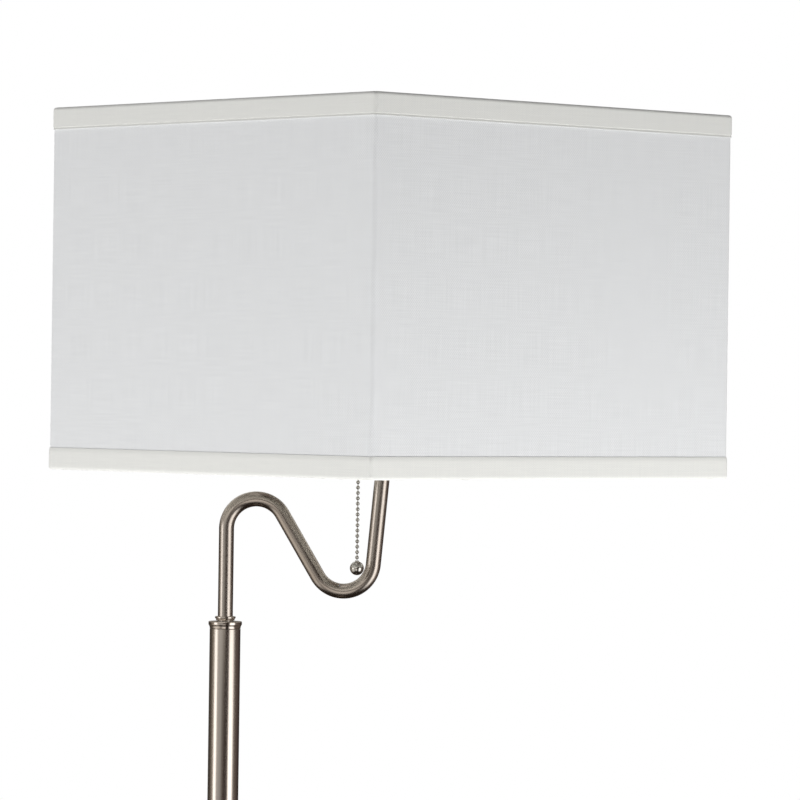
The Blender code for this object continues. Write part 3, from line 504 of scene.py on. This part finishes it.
head_at = np.array([flat_path[-1, 0], 0, arm_high.z])
eighth = math.radians(45)
HEAD = np.array([(math.cos(eighth), -math.sin(eighth), 0), (math.sin(eighth), math.cos(eighth), 0), (0, 0, 1)])


def on_head(points):
    """Points of the head's own frame, with X away from the chain and Z up, in the lamp's frame."""
    return np.asarray(points) @ HEAD.T + head_at


ring_outline = [(0.0052, 0.0003), (0.0095, 0.0003), (0.0095, 0.0023), (0.0052, 0.0023)]
ring = turned("check_ring", ring_outline, at=head_at)
fasten(ring, spun_nickel, "arm", "brushed_nickel", "check_ring")
dress(zinc, "arm_rod", "saddle_nut", "harp_saddle")


# The socket: a cap and shell of nickel-plated brass round a fibre liner, with the black phenolic switch body,
# its screws and lever, and the threaded shell and centre contact that feed the bulb.

# Brass, turned and stamped, shows yellow between the nickel parts. Phenolic resin is a hard black moulding with
# a slight shine, and vulcanised fibre a matt brown board whose 0.1 mm fibres are drawn 1.5 mm wide.
brass = plain_finish("brass", ("b98f4a", "cda560"), 1.0, 0.25, 0.004)
phenolic = plain_finish("phenolic, black", ("151313", "221f1e"), 0.0, 0.40, 0.003)
fibre = plain_finish("vulcanised fibre", ("6d5436", "8a6c48"), 0.0, 0.85, 0.0015)
cup_outline = [
    (0.0053, 0.0077), (0.0075, 0.0077), (0.0079, 0.0105), (0.0120, 0.0125), (0.0160, 0.0155), (0.0172, 0.0190),
    (0.0172, 0.0290), (0.0167, 0.0290), (0.0167, 0.0193), (0.0154, 0.0163), (0.0118, 0.0133), (0.0072, 0.0116),
    (0.0053, 0.0116)]
cup = turned("socket_cap", cup_outline, at=head_at, ease=0.0008)
fasten(cup, spun_nickel, "arm", "brushed_nickel", "socket_cap")
# Nickel plate left bright: a clear mirror, paler than the brushed plate and hardly mottled.
bright_nickel = plain_finish("bright nickel plate", ("bdbab4", "cbc8c2"), 1.0, 0.12, 0.004, 0.00001)
dress(bright_nickel, "socket_shell")
dress(fibre, "socket_liner")
dress(phenolic, "switch_body")
dress(brass, "terminal_screw_live", "terminal_screw_neutral", "screw_shell", "center_contact")
dress(zinc, "lever_pin", "switch_lever")


# The bell: a thin elbow that leads the chain out of the shell and down, flared at its mouth so it can't snag.

CHAIN_OUT = 0.0325
BELL_LIFT = 0.036
BELL_TURN = 0.0055
straight = np.array([(-0.0150, BELL_LIFT)])
quarter = np.linspace(0, math.pi / 2, 16)
elbow = np.stack([-(CHAIN_OUT - BELL_TURN) - BELL_TURN * np.sin(quarter),
                  BELL_LIFT - BELL_TURN * (1 - np.cos(quarter))], -1)
flare = np.array([(-CHAIN_OUT, z) for z in (0.0240, 0.0190, 0.0182, 0.0176, 0.0170, 0.0166)])
bell_line = np.vstack([straight, elbow, flare])
bell_path = np.stack([bell_line[:, 0], 0 * bell_line[:, 0], bell_line[:, 1]], -1)
outer_radius = np.r_[np.full(len(bell_line) - 4, 0.0028), 0.0030, 0.0033, 0.0038, 0.0042]
inner_radius = np.r_[np.full(len(bell_line) - 4, 0.0021), 0.0022, 0.0025, 0.0031, 0.0036]
bell_rings = hollow(*(tube_rings(bell_path, radius, (0, 1, 0)) for radius in (outer_radius, inner_radius)))
bell = skin("chain_bell", on_head(bell_rings), joined=True)
fasten(bell, spun_nickel, "arm", "brushed_nickel", "chain_bell")


# The pull chain: hollow nickel-plated beads, each crimped round the ends of short dumb-bell links, in one
# length that hangs straight. It ends in a turned ball.

BEAD_RADIUS = 0.0016
BEAD_PITCH = 0.0045
LINK_RADIUS = 0.00045


def bead_rings(top, count, sides=20, rows=14):
    """Beads on a wire down from a height: the radius is sqrt(R^2 - d^2), with d the distance from the nearest
    bead's middle, and never less than the link's."""
    low_end = top - (count - 1) * BEAD_PITCH - 2 * BEAD_RADIUS - 0.0004
    height = np.linspace(top + 0.0001, low_end, count * rows)
    nearest = np.clip(np.round((top - BEAD_RADIUS - height) / BEAD_PITCH), 0, count - 1)
    away = height - (top - BEAD_RADIUS - nearest * BEAD_PITCH)
    radius = np.sqrt(np.maximum(BEAD_RADIUS ** 2 - away ** 2, LINK_RADIUS ** 2))
    angle = np.arange(sides) * 2 * math.pi / sides
    return np.stack([radius[:, None] * np.cos(angle), radius[:, None] * np.sin(angle),
                     height[:, None] + 0 * angle], -1)


chain_at = on_head([-CHAIN_OUT, 0, 0])
chain_top = 0.0330
for name, node, body, first, count in (("chain_in_the_bell", "chain_top", "chain_slider", 0, 4),
                                       ("chain_bead", "chain_bead", "chain_tip", 4, 1),
                                       ("chain_run", "pull_chain", "chain_run", 5, 30)):
    start = chain_top - first * BEAD_PITCH
    beads = skin(name, bead_rings(start, count) + chain_at)
    fasten(beads, bright_nickel, body, "polished_nickel", node)
dress(bright_nickel, "chain_inside")

ball_low, ball_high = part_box("pull_ball")
BALL_RADIUS = 0.0059
ball_middle = ball_low.z + BALL_RADIUS
arc = np.linspace(-math.pi / 2, math.radians(74), 30)
ball_outline = np.stack([BALL_RADIUS * np.cos(arc), BALL_RADIUS * np.sin(arc)], -1).tolist()
ball_outline[0][0] = 0.0
ball_outline += [(0.0017, 0.0060), (0.0014, ball_high.z - ball_middle), (0, ball_high.z - ball_middle)]
ball = turned("pull_ball", ball_outline, at=(chain_at[0], chain_at[1], ball_middle), ease=0.0001, sides=48)
fasten(ball, bright_nickel, "chain_run", "polished_nickel", "pull_ball")


# The harp: a loop of thick nickel-plated wire that springs over the bulb, with a seat and a threaded stud brazed
# on its top. Two sleeves drop over its feet and lock them to the saddle.

HARP_LEG = 0.0285
HARP_BULGE = 0.050
HARP_WIRE = 0.0018
HARP_SEAT = 0.2276


def smooth_line(knots, steps):
    """A Catmull-Rom curve: between knots b and c, with a before and d after, the point at t is
    (2b + (c-a)t + (2a-5b+4c-d)t^2 + (3b-a-3c+d)t^3) / 2."""
    knots = np.array(knots, float)
    padded = np.vstack([2 * knots[:1] - knots[1:2], knots, 2 * knots[-1:] - knots[-2:-1]])
    a, b, c, d = (padded[k:len(padded) - 3 + k, None] for k in range(4))
    t = np.linspace(0, 1, steps, endpoint=False)[None, :, None]
    line = (2 * b + (c - a) * t + (2 * a - 5 * b + 4 * c - d) * t ** 2 + (3 * b - a - 3 * c + d) * t ** 3) / 2
    return np.vstack([line.reshape(-1, knots.shape[1]), knots[-1:]])


harp_knots = [
    (HARP_LEG, 0.0287), (HARP_LEG, 0.050), (HARP_LEG + 0.0035, 0.058), (HARP_BULGE - 0.006, 0.076),
    (HARP_BULGE, 0.098), (HARP_BULGE, 0.150), (HARP_BULGE - 0.006, 0.182), (0.032, 0.206), (0.016, 0.2180),
    (0.005, 0.2205)]
half = smooth_line(harp_knots, 10)
loop = np.vstack([half, half[::-1] * (-1, 1)])
harp_path = np.stack([0 * loop[:, 0], loop[:, 0], loop[:, 1]], -1)
harp = skin("harp", on_head(tube_rings(harp_path, HARP_WIRE, (1, 0, 0), sides=24)))
fasten(harp, drawn_nickel, "arm", "brushed_nickel", "harp")

stud_outline = [
    (0, 0.2226), (0.0060, 0.2226), (0.0068, 0.2240), (0.0068, HARP_SEAT - 0.0003), (0.0030, HARP_SEAT - 0.0003),
    (0.0030, HARP_SEAT + 0.0135), (0, HARP_SEAT + 0.0142)]
stud = turned("harp_stud", stud_outline, at=head_at, ease=0.0003, sides=48)
fasten(stud, spun_nickel, "arm", "brushed_nickel", "harp_stud")
sleeve_outline = [
    (0.0024, 0.0214), (0.0036, 0.0214), (0.0036, 0.0228), (0.0031, 0.0236), (0.0031, 0.0370), (0.0024, 0.0370)]
for name, side, body, node in (("left_sleeve", -1, "left_sleeve", "harp_sleeve_left"),
                               ("right_sleeve", 1, "right_sleeve", "harp_sleeve_right")):
    sleeve = turned(name, sleeve_outline, at=on_head([0, side * HARP_LEG, 0]), ease=0.0003, sides=40)
    fasten(sleeve, spun_nickel, body, "brushed_nickel", node)


# The bulb: a round lamp of blown glass, frosted inside and cemented in a nickel-plated screw cap with a brass
# contact.

def frosted_glass():
    """Soda-lime glass etched inside: a milky white body that lets a little light through under a smooth skin."""
    material, tree, shader = finish_of("frosted glass", 0.0, 0.35)
    place = add_node(tree, "TexCoord").outputs["Object"]
    haze = add_node(tree, "TexNoise", {"Vector": place, "Scale": 60.0, "Detail": 2.0})
    tone = add_node(tree, "ValToRGB", {"Fac": haze.outputs["Fac"]},
                    stops=tones([(0.0, "ecebe6"), (1.0, "f6f5f1")]))
    feed(shader, {"Base Color": tone.outputs["Color"], "Subsurface Weight": 0.3, "Subsurface Scale": 0.01,
                  "Coat Weight": 0.6, "Coat Roughness": 0.08})
    return material


bulb_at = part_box("bulb_contact")[0].z
BULB_RADIUS = 0.030
NECK = 0.0266
GLASS = 0.0008
belly = NECK + 0.0560
neck_line = smooth_line([(0.0125, NECK), (0.0136, NECK + 0.008), (0.0165, NECK + 0.020), (0.0215, NECK + 0.033),
                         (0.0270, NECK + 0.045)], 6)
crown = np.radians(np.linspace(-8, 86, 26))
globe = np.stack([BULB_RADIUS * np.cos(crown), belly + BULB_RADIUS * np.sin(crown)], -1)
outside = np.vstack([neck_line, globe])
inside = (outside * [(BULB_RADIUS - GLASS) / BULB_RADIUS, 1] - [0, GLASS])[::-1]
inside[-1] = (0.0117, NECK)
glass_profile = np.vstack([outside, inside])
angle = np.arange(64) * 2 * math.pi / 64
glass_rings = np.stack([glass_profile[:, :1] * np.cos(angle), glass_profile[:, :1] * np.sin(angle),
                        glass_profile[:, 1:] + 0 * angle], -1) + (head_at[0], head_at[1], bulb_at)
bulb_skin = skin("bulb_glass", glass_rings, joined=True)
fasten(bulb_skin, frosted_glass(), "arm", "frosted_glass", "bulb_glass")
dress(bright_nickel, "bulb_cap")
dress(brass, "bulb_contact")


# The shade: linen laminated to white styrene sheet, scored and folded into a square box and lapped at one back
# corner. Cotton-linen tape is glued over its edges and folded round the two wire squares inside.

SIDE = 0.4064
TAPE = 0.0006
LINEN = 0.0006
BACKING = 0.0009
GAP = 0.0003
CORNER = 0.0045
shade_at = np.array([head_at[0], 0, shade_low.z])
shade_height = shade_high.z - shade_low.z


def on_shade(points):
    """Points of the shade's own frame, square to its sides and up from its lower edge, in the lamp's frame."""
    return np.asarray(points) @ HEAD.T + shade_at


def square_line(half, corner, along=60, round_steps=8):
    """A square with rounded corners, anticlockwise, as (x, y): one side and its corner's quarter circle of
    radius c round (h-c, h-c), then the same turned by 90, 180 and 270 degrees."""
    flat = half - corner
    side = np.stack([np.full(along, half), np.linspace(-flat, flat, along)], -1)
    angle = np.linspace(0, math.pi / 2, round_steps + 1)[1:-1]
    bend = np.stack([flat + corner * np.cos(angle), flat + corner * np.sin(angle)], -1)
    quarter = np.vstack([side, bend])
    turns = np.arange(4) * math.pi / 2
    spin = np.array([[(math.cos(a), math.sin(a)), (-math.sin(a), math.cos(a))] for a in turns])
    return (quarter[None] @ spin).reshape(-1, 2)


def level(line, height):
    """A flat line of (x, y) points laid at a height."""
    return np.column_stack([line, np.full(len(line), height)])


def square_rings(profile):
    """A square line for each (half side, height, corner radius) of a profile."""
    return np.array([level(square_line(half, corner), height) for half, height, corner in profile])


def cloth(name, warp, weft, colours, slub, depth):
    """Plain-woven flax yarn, dull with a soft sheen. The weave is sin x sin y on the UV map in metres, which is
    high where the warp passes over and low where the weft does. Slubs, the thick places in a yarn, are soft
    streaks that follow the yarns. Warp and weft are in metres a thread. Real yarns of 0.5 mm are drawn about
    1 mm wide, so that they still show from across a room."""
    material, tree, shader = finish_of(name, 0.0, 0.92)
    place = add_node(tree, "UVMap", uv_map="surface").outputs["UV"]
    wobble = add_node(tree, "TexNoise", {"Vector": place, "Scale": 90.0, "Detail": 2.0})
    shift = add_node(tree, "VectorMath", {0: wobble.outputs["Color"], 1: (0.5, 0.5, 0.5)}, operation="SUBTRACT")
    small = add_node(tree, "VectorMath", {0: shift.outputs[0], "Scale": 0.0009}, operation="SCALE")
    drawn = add_node(tree, "VectorMath", {0: place, 1: small.outputs[0]}, operation="ADD")
    parts = add_node(tree, "SeparateXYZ", {"Vector": drawn.outputs[0]})
    waves = []
    for output, thread in (("X", warp), ("Y", weft)):
        turns = add_node(tree, "Math", {0: parts.outputs[output], 1: math.pi / thread}, operation="MULTIPLY")
        waves.append(add_node(tree, "Math", {0: turns.outputs[0]}, operation="SINE").outputs[0])
    product = add_node(tree, "Math", {0: waves[0], 1: waves[1]}, operation="MULTIPLY")
    weave = add_node(tree, "Math", {0: product.outputs[0], 1: 0.5, 2: 0.5}, operation="MULTIPLY_ADD")
    streaks = []
    for scale in ((28.0, 900.0, 1.0), (1000.0, 24.0, 1.0)):
        mapped = add_node(tree, "Mapping", {"Vector": place, "Scale": scale})
        streak = add_node(tree, "TexNoise", {"Vector": mapped.outputs["Vector"], "Scale": 1.0, "Detail": 2.0,
                                             "Roughness": 0.5})
        streaks.append(add_node(tree, "MapRange", {"Value": streak.outputs["Fac"], "From Min": 0.30,
                                                   "From Max": 0.75}).outputs["Result"])
    slubs = add_node(tree, "Math", {0: streaks[0], 1: streaks[1]}, operation="ADD")
    half_slubs = add_node(tree, "Math", {0: slubs.outputs[0], 1: slub / 2}, operation="MULTIPLY")
    height = add_node(tree, "Math", {0: weave.outputs[0], 1: 1 - slub, 2: half_slubs.outputs[0]},
                      operation="MULTIPLY_ADD")
    tone = add_node(tree, "ValToRGB", {"Fac": height.outputs[0]},
                    stops=tones([(0.15, colours[0]), (0.85, colours[1])]))
    ridge = add_node(tree, "Bump", {"Height": height.outputs[0], "Strength": 0.6, "Distance": depth})
    feed(shader, {"Base Color": tone.outputs["Color"], "Normal": ridge.outputs["Normal"], "Sheen Weight": 0.15,
                  "Sheen Roughness": 0.5})
    return material


linen = cloth("laminated linen", 0.0011, 0.0013, ("dddedf", "f0f1f2"), 0.45, 0.00012)
tape_cloth = cloth("linen tape", 0.0009, 0.0009, ("e0e0dd", "f2f2ed"), 0.35, 0.00012)
# Styrene sheet: white, even and slightly glossy, as the inside of a shade shows it.
styrene = plain_finish("styrene sheet, white", ("e9e9e5", "efefeb"), 0.0, 0.45, 0.01, 0.00005)
wire_nickel = brushed_nickel("nickel wire", 200, 40, roughness=0.2)

half_side = SIDE / 2
linen_half = half_side - TAPE - GAP
backing_half = linen_half - LINEN - GAP
edge = TAPE + GAP


def wall(half, thickness, corner):
    """The profile of a plain wall between the tapes' folds: up its outside and down its inside."""
    low = edge
    high = shade_height - edge
    return [(half, low, corner), (half, high, corner), (half - thickness, high, corner - thickness),
            (half - thickness, low, corner - thickness)]


panel = skin("linen_panel", on_shade(square_rings(wall(linen_half, LINEN, CORNER - TAPE))), joined=True)
fasten(panel, linen, "shade", "white_linen", "shade_linen")
LINING_CORNER = CORNER - 0.0015
lining = skin("styrene_lining", on_shade(square_rings(wall(backing_half, BACKING, LINING_CORNER))), joined=True)
fasten(lining, styrene, "shade", "white_styrene", "shade_backing")

# The lap: the free end of the linen, turned under and glued down beside the back corner, between the tapes.
LAP = 0.012
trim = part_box("tape_bottom")[1].z - shade_low.z
lap_low = trim + 0.0004
lap_face = linen_half + 0.0001
lap_ring = np.array([(lap_face, 0.0), (lap_face + 0.0004, 0.0008), (lap_face + 0.0004, LAP - 0.0010),
                     (lap_face + 0.0001, LAP), (lap_face - 0.0003, LAP), (lap_face - 0.0003, 0.0)])
lap_ring[:, 1] += linen_half - CORNER - LAP - 0.0005
lap_heights = np.linspace(lap_low, shade_height - lap_low, 12)
lap = skin("linen_lap", on_shade([level(lap_ring, height) for height in lap_heights]))
fasten(lap, linen, "shade", "white_linen")

# The tapes. Each starts at its lip on the panel, runs to the rim, folds over it and the wire, and ends inside.
# The upper one is pressed into a crease just above its lip, and the lower one's lip is pressed thin.
WIRE = 0.0016
CREASE = 0.00045
TUCK = 0.0020           # the corner radius of the part that is folded in
wire_half = backing_half - BACKING - GAP - WIRE
fold = wire_half - WIRE - GAP
top_wire = shade_height - edge - WIRE
upper_depth = shade_height - top_wire - 0.0004
upper_lip = [(half_side, 0.0), (half_side - CREASE, -0.0018), (half_side, -0.0019)]
lower_lip = [(half_side - 0.0005, 0.0), (half_side - 0.0002, 0.0014), (half_side, 0.0034)]
for name, node, rim, up, depth, lip_line in (
        ("upper_tape", "tape_top", shade_height, -1, upper_depth, upper_lip),
        ("lower_tape", "tape_bottom", 0.0, 1, 0.0080, lower_lip)):
    lip = rim + up * trim
    under = rim + up * TAPE
    inner_lip = rim + up * depth
    profile = [(half, lip - down, CORNER) for half, down in lip_line] + [
        (half_side, lip - up * 0.0040, CORNER), (half_side, rim + up * 0.0030, CORNER),
        (half_side, rim + up * 0.0021, CORNER), (half_side - 0.0004, rim + up * 0.0009, CORNER),
        (half_side - 0.0010, rim + up * 0.0002, CORNER), (half_side - 0.0020, rim, CORNER - 0.0010),
        (fold - TAPE + 0.0005, rim, TUCK), (fold - TAPE, rim + up * 0.0005, TUCK),
        (fold - TAPE, inner_lip, TUCK), (fold, inner_lip, TUCK), (fold, under, TUCK),
        (half_side - TAPE, under, CORNER - TAPE), (half_side - TAPE, lip, CORNER - TAPE)]
    band = skin(name, on_shade(square_rings(profile)), joined=True)
    fasten(band, tape_cloth, "shade", "linen_tape", node)


# The wires: a square of nickel-plated wire in each end of the shade, and in the upper one the spider, whose
# four arms drop to a stamped washer that sits on the harp.

def square_wire(name, height):
    """Round wire bent into a square that lies at a height in the shade."""
    path = level(square_line(wire_half, CORNER), height)
    return skin(name, on_shade(tube_rings(path, WIRE, (0, 0, 1), closed=True, sides=16)), joined=True)


lower_wire = square_wire("lower_wire", edge + WIRE)
fasten(lower_wire, wire_nickel, "shade", "polished_nickel", "bottom_wire")
spider = square_wire("upper_wire", top_wire)
fasten(spider, wire_nickel, "shade", "polished_nickel", "spider")
seat = head_at[2] + HARP_SEAT - shade_low.z
arm_knots = [(0.0120, seat + 0.0007), (0.080, seat + 0.0007), (wire_half - 0.030, seat + 0.0030),
             (wire_half - 0.012, seat + 0.0100), (wire_half, top_wire - 0.0004)]
spoke = smooth_line(arm_knots, 8)
spoke_path = np.stack([spoke[:, 0], 0 * spoke[:, 0], spoke[:, 1]], -1)
spoke_rings = tube_rings(spoke_path, 0.0013, (0, 1, 0), sides=16)
for k in range(4):
    turn = k * math.pi / 2
    spin = np.array([(math.cos(turn), math.sin(turn), 0), (-math.sin(turn), math.cos(turn), 0), (0, 0, 1)])
    spoke_piece = skin(f"spider_arm_{k + 1}", on_shade(spoke_rings @ spin))
    fasten(spoke_piece, wire_nickel, "shade", "polished_nickel")
washer_outline = [(0.0036, seat), (0.0135, seat), (0.0135, seat + 0.0014), (0.0036, seat + 0.0014)]
washer = turned("spider_washer", washer_outline, at=shade_at, ease=0.0003)
fasten(washer, wire_nickel, "shade", "polished_nickel")


# The finial: a turned brass knob, nickel plated, over a threaded brass insert. It clamps the spider to the
# harp, and the shade turns under it.

finial_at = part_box("finial")[0].z
finial_outline = [
    (0, 0.0186), (0.0030, 0.0182), (0.0056, 0.0170), (0.0074, 0.0145), (0.0080, 0.0110), (0.0075, 0.0080),
    (0.0062, 0.0050), (0.0070, 0.0028), (0.0088, 0.0012), (0.0085, 0.0), (0.0053, 0.0), (0.0053, 0.0103),
    (0.0034, 0.0155), (0, 0.0160)]
finial = turned("finial", finial_outline, at=(head_at[0], 0, finial_at), ease=0.0009, sides=64)
fasten(finial, spun_nickel, "arm", "brushed_nickel", "finial")
dress(brass, "finial_insert")
